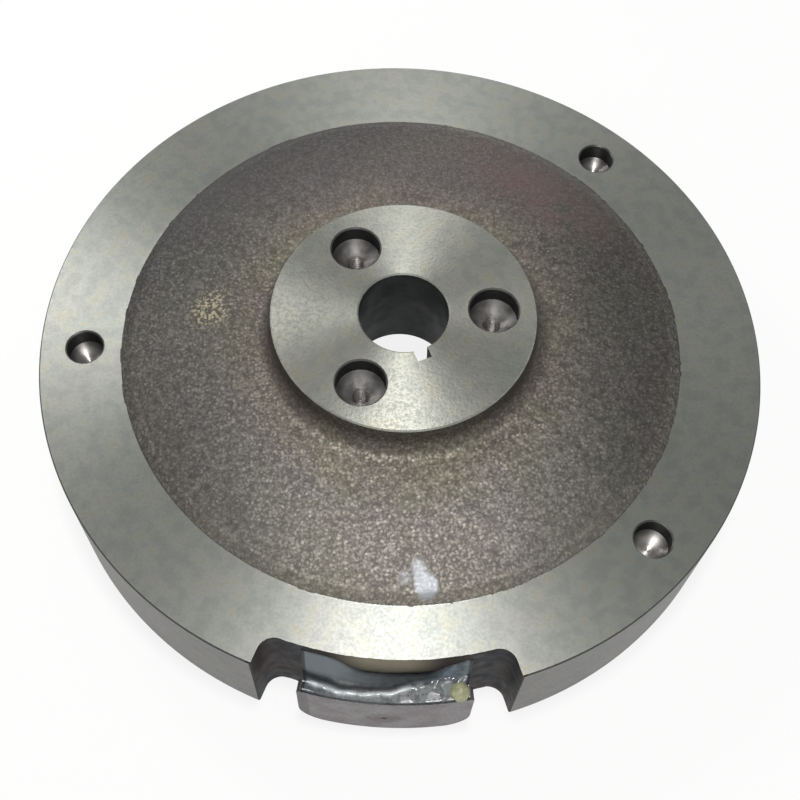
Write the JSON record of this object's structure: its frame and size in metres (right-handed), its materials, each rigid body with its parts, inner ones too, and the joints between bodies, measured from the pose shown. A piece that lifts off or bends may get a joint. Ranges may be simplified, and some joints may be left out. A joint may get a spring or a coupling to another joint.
{
  "type": "magneto flywheel",
  "caption": "Round cast-iron magneto flywheel with a heavy machined rim, dished web, raised keyed hub, and an ignition magnet with a curved pole shoe in a notch of the rim.",
  "frame": {"origin": "on the crank axis, in the plane of the rim's engine side", "axes": "+Z along the crank axis towards the fan side; +X through one hub socket, opposite the single peg hole"},
  "size_m": [0.2, 0.2, 0.049],
  "materials": {
    "cast_iron": "machined rim and hub faces, sand-cast web",
    "shoe_steel": "turned, slightly oxidised",
    "ferrite": "sintered and ground",
    "potting": "glossy cast compound",
    "screw_steel": "turned flush with the rim",
    "bead": "satin cream compound"
  },
  "bodies": {
    "root": {"flywheel_casting": "cast_iron", "pole_shoe": "shoe_steel", "ignition_magnet": "ferrite", "magnet_potting": "potting", "shoe_screw": "screw_steel", "marker_bead": "bead"}
  },
  "joints": []
}
